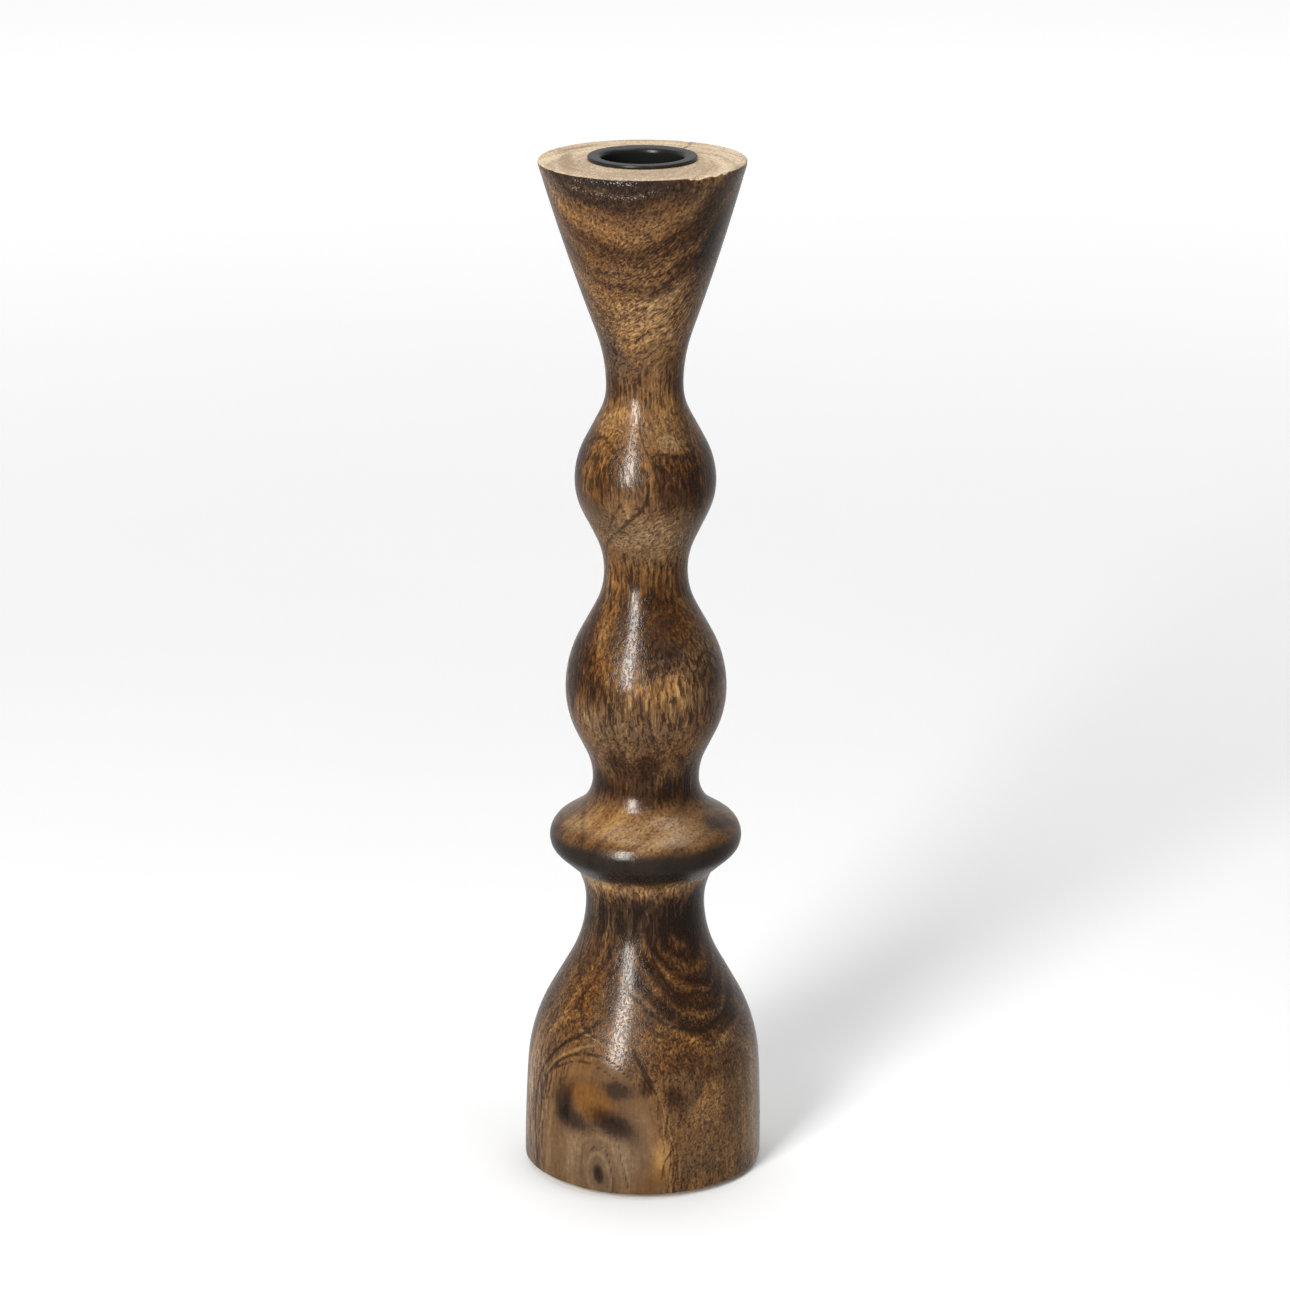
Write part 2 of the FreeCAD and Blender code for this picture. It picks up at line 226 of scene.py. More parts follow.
class Finish:
    """A material as it is written: node() adds any node, the other methods are short forms of it."""

    def __init__(self, name):
        self.material = bpy.data.materials.new(name)
        self.material.use_nodes = True
        self.tree = self.material.node_tree
        self.tree.nodes.clear()

    def node(self, kind, settings=None, sockets=None, out=0):
        """Adds a node: its type, its settings, then the values or links of its sockets."""
        node = self.tree.nodes.new(kind)
        for key, value in (settings or {}).items():
            if key == "stops":
                self.fill_ramp(node.color_ramp, value)
            else:
                setattr(node, key, value)
        for key, value in (sockets or {}).items():
            if isinstance(value, Value):
                self.tree.links.new(value.socket, node.inputs[key])
            else:
                node.inputs[key].default_value = value
        return Value(self, node.outputs[out]) if node.outputs else None

    @staticmethod
    def fill_ramp(ramp, stops):
        """Gives a colour ramp its stops: each a place from 0 to 1 and a colour."""
        while len(ramp.elements) > 1:
            ramp.elements.remove(ramp.elements[-1])
        for index, (place, colour) in enumerate(stops):
            stop = ramp.elements[0] if index == 0 else ramp.elements.new(place)
            stop.position = place
            stop.color = (*colour, 1.0)

    def math(self, operation, first, second):
        """Works with two numbers."""
        return self.node("ShaderNodeMath", {"operation": operation}, {0: first, 1: second})

    def vector(self, operation, first, second):
        """Works with two vectors, or scales a vector by a number."""
        sockets = {0: first, "Scale" if operation == "SCALE" else 1: second}
        return self.node("ShaderNodeVectorMath", {"operation": operation}, sockets)

    def position(self):
        """Where a point of the surface lies, in metres."""
        return self.node("ShaderNodeTexCoord", out="Object")

    def attribute(self, name):
        """A number that the piece keeps at each vertex."""
        return self.node("ShaderNodeAttribute", {"attribute_name": name}, out="Fac")

    def noise(self, vector, scale, detail=2.0, roughness=0.5, distortion=0.0):
        """Noise from 0 to 1; scale is in cells per unit of the vector."""
        sockets = {
            "Vector": vector,
            "Scale": scale,
            "Detail": detail,
            "Roughness": roughness,
            "Distortion": distortion,
        }
        return self.node("ShaderNodeTexNoise", {}, sockets, "Fac")

    def noise_colour(self, vector, scale):
        """Three noises from 0 to 1 as a colour."""
        return self.node("ShaderNodeTexNoise", {}, {"Vector": vector, "Scale": scale}, "Color")

    def step(self, value, low, high):
        """0 below low, 1 above high, and a smooth rise between; low above high turns it round."""
        settings = {"interpolation_type": "SMOOTHSTEP"}
        if low > high:
            return 1.0 - self.step(value, high, low)
        sockets = {"Value": value, "From Min": low, "From Max": high}
        return self.node("ShaderNodeMapRange", settings, sockets)

    def ramp(self, value, stops):
        """The colour that a number from 0 to 1 has on a ramp."""
        return self.node("ShaderNodeValToRGB", {"stops": stops}, {"Fac": value}, "Color")

    def mix(self, factor, first, second):
        """Mixes two colours; a colour is a value or three numbers."""
        first, second = (c if isinstance(c, Value) else (*c, 1.0) for c in (first, second))
        settings = {"data_type": "RGBA", "clamp_factor": True}
        return self.node("ShaderNodeMix", settings, {0: factor, 6: first, 7: second}, 2)

    def bump(self, height, distance, strength):
        """A normal tilted by heights from 0 to 1, a distance in metres high."""
        sockets = {"Height": height, "Distance": distance, "Strength": strength}
        return self.node("ShaderNodeBump", {}, sockets, "Normal")

    def surface(self, sockets):
        """Ends the material with its shader and gives it back."""
        shader = self.node("ShaderNodeBsdfPrincipled", {}, sockets, "BSDF")
        self.node("ShaderNodeOutputMaterial", {}, {"Surface": shader})
        return self.material


# -------------------------------------------------------------------------------- surfaces in general


def through(at, places, values):
    """A smooth curve through points, read at new places.

    It is a cubic Hermite curve whose slope at each point comes from the differences to its neighbours.
    """
    at, places, values = (np.asarray(a, float) for a in (at, places, values))
    slopes = np.gradient(values, places)
    index = np.clip(np.searchsorted(places, at) - 1, 0, len(places) - 2)
    width = places[index + 1] - places[index]
    t = np.clip((at - places[index]) / width, 0.0, 1.0)
    return (
        (2 * t**3 - 3 * t**2 + 1) * values[index]
        + (t**3 - 2 * t**2 + t) * width * slopes[index]
        + (3 * t**2 - 2 * t**3) * values[index + 1]
        + (t**3 - t**2) * width * slopes[index + 1]
    )


def corner(start, turn, end, radius, count):
    """A rounded corner: a quadratic curve that leaves the corner point by radius along each leg."""
    start, turn, end = (np.asarray(p, float) for p in (start, turn, end))
    legs = [(p - turn) / np.linalg.norm(p - turn) * radius + turn for p in (start, end)]
    t = np.linspace(0.0, 1.0, count)[:, None]
    return (1 - t) ** 2 * legs[0] + 2 * t * (1 - t) * turn + t**2 * legs[1]


def run(start, end, count):
    """Points in line from start to end, both included."""
    t = np.linspace(0.0, 1.0, count)[:, None]
    return (1 - t) * np.asarray(start, float) + t * np.asarray(end, float)


def new_mesh(name, points, faces, material):
    """A smooth-shaded object from its points and faces, at the origin."""
    mesh = bpy.data.meshes.new(name)
    mesh.from_pydata(points.tolist(), [], faces)
    mesh.validate()
    mesh.shade_smooth()
    mesh.materials.append(material)
    piece = bpy.data.objects.new(name, mesh)
    bpy.context.scene.collection.objects.link(piece)
    return piece


def closed_skin(grid, first_pole, last_pole):
    """Points and faces of a surface closed round its columns, with a point at each end.

    Row i, column j of the grid joins row i + 1 and column j + 1, the last column joins the first, and
    each pole makes a fan of triangles with the row beside it.
    """
    rows, columns, _ = grid.shape
    points = np.vstack([grid.reshape(-1, 3), first_pole, last_pole])
    index = np.arange(rows * columns).reshape(rows, columns)
    right = np.roll(index, -1, axis=1)
    quads = np.stack([index[:-1], right[:-1], right[1:], index[1:]], axis=-1).reshape(-1, 4)
    bottom, top = rows * columns, rows * columns + 1
    fan = np.stack([np.full(columns, bottom), right[0], index[0]], axis=-1)
    cap = np.stack([np.full(columns, top), index[-1], right[-1]], axis=-1)
    return points, quads.tolist() + fan.tolist() + cap.tolist()


def turned(path, angles):
    """A grid of points: each (radius, height) of the path carried round the axis; angle 0 is the front."""
    radius, height = path[:, :1], path[:, 1:]
    return np.stack(
        [radius * np.sin(angles), -radius * np.cos(angles), height + 0.0 * angles], axis=-1
    )


def even_angles(count):
    """Angles round the axis in equal steps, the first at the front."""
    return np.linspace(0.0, 2 * np.pi, count, endpoint=False)


def front_angles(count, lean=0.42):
    """Angles round the axis, closer together at the front: an even turn less a share of its sine."""
    even = even_angles(count)
    return even - lean * np.sin(even)


# ------------------------------------------------------------------------------------------- the wood

# The figure is laid out as a turner would chalk it on the blank: angles in degrees round from the
# front, positive towards the right, and heights and widths in mm.

HEART = [  # height, and the direction from the axis to the side where the rings are youngest
    (0, 30),
    (60, 42),
    (100, 55),
    (145, 62),
    (174, 5),
    (204, -58),
    (236, -20),
    (292, -17),
]

HEAD_BANDS = [  # height of a band at the front of the head, and how pale it is
    (232, 0.00),
    (236, -0.05),
    (238, -0.22),
    (241, 0.00),
    (246, 0.06),
    (249, 0.00),
    (250.5, -0.16),
    (252, 0.02),
    (255, 0.12),
    (257, 0.00),
    (258.5, -0.20),
    (261, 0.02),
    (264, 0.10),
    (266, -0.10),
    (269, -0.22),
    (272, -0.02),
    (275, 0.09),
    (279, 0.06),
    (281, -0.04),
    (283.5, -0.26),
    (286, -0.18),
    (288, -0.24),
    (292, -0.34),
]

PATCHES = [  # angle, height, half-width, half-height, clockwise lean, paleness, warmth
    # head
    (-62, 279, 7, 5, 0, 0.00, 0.45),
    (46, 272, 9, 12, 0, -0.20, -0.10),
    (66, 276, 9, 16, 0, -0.16, -0.10),
    (-15, 287, 26, 3, 0, -0.12, -0.50),
    (-15, 272, 22, 9, 0, -0.06, 0.00),
    (-46, 240, 5, 7, 0, -0.10, -0.60),
    (4, 248, 9, 10, 30, 0.16, -0.10),
    (38, 290.9, 5, 0.7, 0, 0.26, 0.60),
    (-95, 299, 10, 1.6, 0, -0.50, 0.00),
    (-60, 297, 8, 1.0, 0, -0.30, 0.00),
    (-130, 296, 8, 1.2, 0, -0.40, 0.00),
    (75, 296, 12, 4, 0, 0.04, 0.00),
    # upper neck and bead
    (62, 230, 4, 5, 0, -0.30, 0.10),
    (-65, 229, 5, 4, 0, -0.18, 0.20),
    (-44, 219, 6, 6, 0, 0.20, 0.30),
    (20, 222, 6, 8, 0, 0.14, 0.10),
    (28, 215, 6, 2.5, 0, 0.20, -0.20),
    (-12, 221, 1.5, 6, -14, 0.10, 0.00),
    (-54, 205, 7, 9, 0, 0.00, 0.60),
    (-80, 205, 5, 10, 0, -0.36, -0.10),
    (-34, 204, 4, 7, 0, -0.14, 0.20),
    (44, 204, 13, 10, 0, -0.24, 0.20),
    (6, 207, 2, 7, 0, 0.10, 0.20),
    (-50, 197, 9, 3.5, 25, -0.14, -0.70),
    (-16, 199, 5, 4, 20, 0.08, -0.20),
    (8, 190, 12, 8, 0, 0.16, -0.30),
    (54, 190, 7, 8, 0, -0.02, -0.40),
    (80, 205, 6, 10, 0, -0.22, 0.00),
    # lower bead
    (-45, 175, 2.5, 7, 0, 0.16, 0.40),
    (10, 174, 9, 8, 0, -0.12, 0.30),
    (-50, 162, 5, 6, 0, 0.22, 0.30),
    (-66, 152, 6, 12, 0, -0.44, 0.30),
    (-43, 152.5, 5, 3.5, 0, -0.05, 0.80),
    (-42, 145.5, 7, 4, 0, -0.26, 0.30),
    (12, 165, 11, 7, 0, -0.14, 0.30),
    (14, 156, 8, 4, 0, -0.22, -0.30),
    (48, 161, 7, 6, 0, 0.02, 0.20),
    (17, 147, 14, 3.8, 0, 0.09, 0.10),
    (58, 148, 6, 5, 0, -0.16, 0.00),
    (0, 135, 12, 5, 0, -0.02, -0.30),
    (-45, 134, 8, 6, 0, 0.04, -0.20),
    (-27, 124.5, 3.5, 3.5, 20, -0.26, -0.10),
    (-4, 122.5, 3.5, 5, 20, -0.26, -0.10),
    (16, 120, 2.5, 7, 20, 0.08, 0.10),
    (-54, 115, 6, 3.5, 0, -0.32, 0.10),
    (0, 114, 8, 3, 0, -0.14, 0.10),
    (40, 115, 7, 3.5, 0, -0.26, 0.20),
    # collar
    (-32, 106.5, 9, 5, 0, 0.20, 0.15),
    (-62, 104, 5, 4, 0, 0.22, -0.10),
    (16, 105, 14, 4.5, 0, 0.21, -0.10),
    (0, 101, 90, 1.6, 0, -0.14, 0.10),
    (-75, 101, 6, 2.5, 0, -0.20, 0.00),
    (60, 104.5, 3, 2, 0, -0.30, -0.20),
    (75, 104, 3, 2, 0, -0.26, 0.00),
    (-44, 87.0, 7, 2.6, 0, 0.14, 0.00),
    (0, 86.8, 24, 2.4, 0, 0.08, -0.10),
    # lower neck
    (0, 78, 28, 6, 0, -0.17, -0.45),
    (52, 76, 3, 9, 0, -0.24, 0.00),
    # bell
    (-46, 54, 9, 9, 0, 0.02, 0.55),
    (-76, 46, 7, 9, 0, -0.10, 0.20),
    (-22, 60, 3, 9, 0, -0.18, 0.20),
    (42, 62, 16, 16, 0, -0.08, 0.30),
    (26, 45, 13, 2.2, 10, 0.06, 0.20),
    (15, 41, 10, 4, 0, -0.12, 0.20),
    (60, 46, 9, 14, 0, -0.06, -0.20),
    (34, 27, 14, 5, -24, 0.16, 0.00),
    (16, 31, 2.6, 2.8, 20, -0.24, 0.00),
    (21, 25, 2, 5, 0, -0.10, 0.00),
    (1, 33.5, 2, 3, 0, -0.30, 0.00),
    (40, 12, 16, 9, 0, 0.06, -0.10),
    # paler band down the right edge of the bell: painted sheen, the pale grazing reflection along the
    # outline
    (76, 22, 9, 22, 0, 0.26, -0.20),
    (56, 14, 6, 15, 0, 0.14, 0.00),
    # paler band down the left edge of the bell: painted sheen, the pale grazing reflection along the outline
    (-78, 27, 8, 22, 0, 0.26, -0.20),
    # the knot
    (-30, 12, 15, 12, 0, 0.14, -0.50),
    (-6, 16, 7, 12, 0, 0.14, -0.40),
    (-30, 29.5, 9, 4, 0, 0.08, 0.65),
    (-24, 26, 6, 3, 30, 0.02, 0.50),
    (-43.5, 26.5, 3.4, 6, 0, -0.44, -0.40),
    (-34, 21.5, 5.5, 3.0, 10, -0.34, -0.20),
    (-13, 32.5, 4, 2.2, 0, -0.28, -0.40),
    (-15, 22.5, 7.6, 3.4, 32, -0.50, -0.40),
    (-22, 7, 1.6, 2.6, 0, -0.50, -0.30),
    (-22, 8, 6, 7, 0, -0.08, -0.30),
    (8, 13, 2.5, 6, 12, 0.20, 0.35),
]

TURNED_TONES = [  # height of a ring round the whole stick, and how pale it is
    (0, 0.04),
    (30, 0.04),
    (66, -0.08),
    (76, -0.10),
    (84, -0.04),
    (87.5, 0.13),
    (92, 0.00),
    (104, 0.10),
    (109, 0.04),
    (114, -0.12),
    (122, -0.04),
    (147, 0.06),
    (165, -0.04),
    (180, 0.03),
    (190, 0.09),
    (204, -0.04),
    (220, 0.06),
    (230, 0.02),
    (240, 0.06),
    (254, 0.07),
    (268, 0.02),
]

EYE_RINGS = [  # distance from the middle of the eye on the bell, and how pale the ring is
    (0, -0.40),
    (3, -0.30),
    (4.5, 0.08),
    (6, -0.10),
    (8, -0.30),
    (9.5, 0.05),
    (11, -0.10),
    (12.4, -0.32),
    (13.4, 0.16),
    (15, -0.12),
    (17, -0.30),
    (18.2, 0.10),
    (19.6, -0.30),
    (21.5, -0.38),
    (23, 0.14),
    (25, 0.00),
    (30, 0.00),
]

LINES = [  # half-width, strength, then the angle and height of points along a dark line
    (0.45, 0.5, (-62, 250), (-44, 249), (-22, 250), (0, 254)),
    (0.4, 0.65, (-6, 243), (12, 247), (30, 252), (47, 258)),
    (0.35, 0.5, (4, 241), (22, 246), (42, 253)),
    (0.5, 0.7, (-80, 213), (-62, 216), (-48, 216.5), (-35, 215), (-25, 211), (-20, 205)),
    (0.6, 0.55, (14, 212.8), (33, 212), (52, 212.5)),
    (0.4, 0.6, (-14, 224), (-2, 218), (8, 211), (14, 203), (15, 196)),
    (0.5, 0.65, (4, 205), (-4, 199), (-18, 192.5), (-35, 188), (-52, 182), (-66, 175), (-68, 168)),
    (0.5, 0.5, (-18, 199), (-30, 192), (-44, 189)),
    (0.5, 0.5, (-56, 176), (-51, 162), (-38, 152), (-28, 142), (-30, 134), (-50, 126), (-62, 120)),
    (0.4, 0.5, (38, 174), (36, 160), (30, 150)),
    (0.6, 0.8, (43, 153), (57, 155.5), (72, 152)),
    (0.5, 0.8, (46, 149), (57, 152), (68, 149)),
    (0.4, 0.7, (50, 146), (57, 148.5), (65, 146)),
    (0.7, 0.5, (-80, 109), (-58, 106), (-46, 102), (-42, 98)),
    (0.4, 0.6, (-92, 105), (-72, 103), (-60, 99)),
    (0.3, 0.5, (-12, 105), (-6, 101), (4, 98)),
    (0.3, 0.5, (-2, 106), (4, 102), (12, 99)),
    (0.4, 0.6, (58, 109.5), (68, 107.5), (84, 107)),
    (0.45, 0.8, (-70, 74), (-62.4, 63), (-47.6, 55), (-36.4, 50.7), (-21.5, 44.7)),
    (0.4, 1.0, (6, 73), (8, 66), (15, 61), (27, 57), (37, 55.5), (52, 57), (68, 62)),
    (0.7, 0.9, (-6, 58), (3, 53), (11, 50.6), (25, 48.6), (41, 48.4), (58, 51), (72, 55)),
    (0.5, 0.6, (-4, 51), (10, 47), (28, 44.5), (46, 45), (62, 48)),
    (1.2, 0.9, (50, 86), (54, 80), (54, 74), (48, 70)),
    (0.4, 0.9, (146, 303), (144, 298), (148, 292)),
    (0.3, 0.6, (118, 299), (122, 294)),
    (0.3, 0.5, (70, 298), (66, 294), (69, 291)),
    (0.4, 0.8, (-16, 44), (-9, 43), (0, 40), (3, 35), (6, 31)),
    (0.9, 1.0, (-6, 43.5), (0, 39.5), (3.5, 34)),
    (0.5, 0.9, (-63, 2), (-65, 16), (-62, 30), (-55, 37), (-45, 42.5), (-34, 46), (-26, 51)),
    (0.4, 0.8, (-58, 2), (-59, 16), (-57, 28), (-49, 36.5), (-34, 41), (-20, 40), (-6, 36)),
    (0.3, 0.7, (-70, 4), (-70, 24), (-63, 36), (-54, 43)),
    (0.3, 0.6, (-76, 4), (-76, 24), (-70, 38), (-62, 46)),
    (0.3, 0.7, (-52, 34), (-38, 38.5), (-22, 37), (-8, 33)),
    (0.3, 0.8, (9, 30), (13, 27), (11, 20), (13, 15), (9, 11), (8, 6)),
    (0.3, 0.6, (-31, 18), (-22, 20.5), (-12, 18), (-8, 10), (-7, 3)),
    (0.3, 0.6, (-27, 13), (-22, 15), (-16, 13), (-14, 7), (-15, 2)),
]

GOLDEN_LINES = [  # the same for the yellow edges of the feather
    (0.6, 0.7, (-56, 32), (-49, 37.5), (-36, 42), (-24, 44.5), (-14, 43)),
    (0.6, 0.8, (-34, 48), (-26, 46), (-20, 44.5)),
    (0.5, 0.6, (6, 33), (11, 28), (10, 20), (11, 14), (7, 9)),
    (1.5, 0.35, (-14, 225), (-3, 218), (6, 211), (11, 203)),
]

RIM_CHIPS = [  # angle, height, half-width, half-height and depth of chips out of the rim of the head
    (28, 291.3, 0.8, 0.5, 0.25),
    (34, 291.2, 1.5, 0.8, 0.45),
    (39, 291.4, 0.8, 0.6, 0.35),
    (45, 291.2, 1.2, 0.7, 0.45),
    (52, 291.4, 0.7, 0.5, 0.25),
    (88, 291.4, 1.2, 0.6, 0.35),
    (-95, 291.4, 0.9, 0.5, 0.25),
    (152, 291.3, 1.3, 0.7, 0.40),
    (-160, 291.4, 0.8, 0.5, 0.30),
]

DENTS = [  # the same for nicks in the side and along the foot's edge
    (-77, 187, 1.6, 3.2, 0.45),
    (-80, 183, 1.2, 2.0, 0.30),
    (-52, 1.6, 9.0, 1.3, 0.35),
    (-38, 1.6, 3.0, 0.9, 0.25),
    (42, 1.6, 1.2, 0.9, 0.50),
    (30, 1.6, 5.0, 0.8, 0.20),
    (110, 1.6, 7.0, 1.1, 0.30),
    (-140, 1.6, 4.0, 0.9, 0.30),
    (170, 1.6, 2.0, 0.9, 0.35),
    (-100, 96.0, 1.2, 0.8, 0.15),
]

SHORT_PORES = [  # angle, height, half-width, half-height and share of short pores among the long
    (0, 190, 90, 9, 1.0),
    (0, 219, 90, 6, 0.6),
    (0, 163, 90, 6, 0.6),
    (0, 128, 90, 8, 0.7),
    (0, 103, 90, 8, 1.0),
    (0, 52, 90, 15, 1.0),
    (48, 20, 24, 28, 1.0),
]

LEANING_PORES = [  # the same for pores that lean
    (10, 252, 60, 19, 1.0),
    (30, 276, 30, 12, 0.7),
    (0, 191, 60, 8, 0.8),
    (50, 24, 24, 16, 0.7),
    (10, 104, 40, 6, 0.6),
]

CHIP_GLINT_LINES = [  # where the varnish is chipped along the rim of the head, painted as near-white glints
    (0.4, 1.0, (-38, 290.4), (-20, 290.5), (-4, 290.2)),
    (0.4, 0.6, (-42, 287.4), (-10, 286.6), (16, 288)),
]


def side_radius(heights):
    """Radius of the turning at given heights: a smooth curve through the rings of the frame's own mesh."""
    mesh = frame["nodes"]["turned_body"].data
    points = np.empty(len(mesh.vertices) * 3)
    mesh.vertices.foreach_get("co", points)
    x, y, z = points.reshape(-1, 3).T
    radius = np.hypot(x, y)
    outside = (radius > 13.0 * MM) | (z < 260.0 * MM)
    z, radius = np.round(z[outside], 5), radius[outside]
    rings, index, counts = np.unique(z, return_inverse=True, return_counts=True)
    widest = np.zeros(len(rings))
    np.maximum.at(widest, index, radius)
    kept = (rings > WOOD_LOW[2] + 0.4 * MM) & (rings < WOOD_HIGH[2] - 0.6 * MM) & (counts >= 24)
    return through(heights, rings[kept], widest[kept])


def wave(first, second, seed, count=7):
    """Smooth waviness between about -1 and 1: a mean of sines of two coordinates, seeded."""
    rng = np.random.default_rng(seed)
    total = 0.0
    for _ in range(count):
        a, b = rng.uniform(0.5, 1.6, 2) * rng.choice([-1, 1], 2)
        total = total + np.sin(a * first + b * second + rng.uniform(0, 2 * np.pi))
    return total / math.sqrt(count)


class Skin:
    """Where each vertex of the wood lies: angle in degrees from the front, height and radius in mm.

    For drawing, the height goes on past the rim by the distance inwards over the head, and below the
    edge of the foot by the distance inwards under it.
    """

    def __init__(self, path, angles):
        degrees = np.degrees((angles + np.pi) % (2 * np.pi) - np.pi)
        radius, height = (c[:, None] / MM + 0.0 * angles for c in path.T)
        self.radius, self.true_height = radius, height
        self.x = radius * np.sin(angles)
        self.y = -radius * np.cos(angles)
        wobble = wave(self.x * 0.25, height * 0.16 + self.y * 0.2, 3)
        lift = wave(self.x * 0.22 + self.y * 0.2, height * 0.2, 4)
        over = np.where(height > WOOD_HIGH[2] / MM - 0.5, HEAD_RADIUS - radius, 0.0)
        under = np.where(height < WOOD_LOW[2] / MM + 0.5, WOOD_HIGH[0] / MM - radius, 0.0)
        self.angle = degrees + np.degrees(0.9 * wobble / np.maximum(radius, 8.0))
        self.height = height + 0.6 * lift + np.maximum(over, 0.0) - np.maximum(under, 0.0)

    def away(self, angle, height):
        """Distances in mm round and up the skin from a place to every vertex."""
        turn = (self.angle - angle + 180.0) % 360.0 - 180.0
        return np.radians(turn) * self.radius, self.height - height

    def patch(self, angle, height, wide, tall, lean=0.0):
        """A soft-edged oval: e to the minus cube of the distance in half-widths."""
        across, up = self.away(angle, height)
        c, s = math.cos(math.radians(lean)), math.sin(math.radians(lean))
        squared = ((c * across - s * up) / wide) ** 2 + ((s * across + c * up) / tall) ** 2
        return np.exp(-(squared**1.5))

    def shared(self, patches):
        """Patches added up, each by its share, the last of its numbers."""
        return sum(share * self.patch(*place) for *place, share in patches)

    def dented(self, dents):
        """Depth in mm of small round dents, each an angle, height, half-width, half-height and depth."""
        depth = np.zeros(self.angle.shape)
        for angle, height, wide, tall, deep in dents:
            across, up = self.away(angle, height)
            depth += deep * np.exp(-((across / wide) ** 2) - (up / tall) ** 2)
        return depth

    def drawn(self, lines):
        """How strongly lines mark each vertex.

        A line is a half-width, a strength and (angle, height) points on a smooth curve; its mark is its
        strength times e to the minus squared distance in half-widths, and the strongest mark counts.
        """
        mark = np.zeros(self.angle.shape)
        for half_width, strength, *points in lines:
            angles, heights = np.asarray(points, float).T
            knots = np.arange(len(points))
            fine = np.linspace(0, len(points) - 1, 6 * (len(points) - 1) + 1)
            angles, heights = through(fine, knots, angles), through(fine, knots, heights)
            least = np.full(self.angle.shape, 1e3)
            for a0, h0, a1, h1 in zip(angles, heights, angles[1:], heights[1:]):
                x, y = self.away(a0, h0)
                dx, dy = np.radians(a1 - a0) * self.radius, h1 - h0
                t = np.clip((x * dx + y * dy) / (dx**2 + dy**2 + 1e-9), 0.0, 1.0)
                least = np.minimum(least, np.hypot(x - t * dx, y - t * dy))
            mark = np.maximum(mark, strength * np.exp(-((least / half_width) ** 2)))
        return mark


def rise(value, low, high):
    """0 below low, 1 above high, and a smooth rise between."""
    t = np.clip((value - low) / (high - low), 0.0, 1.0)
    return t * t * (3.0 - 2.0 * t)


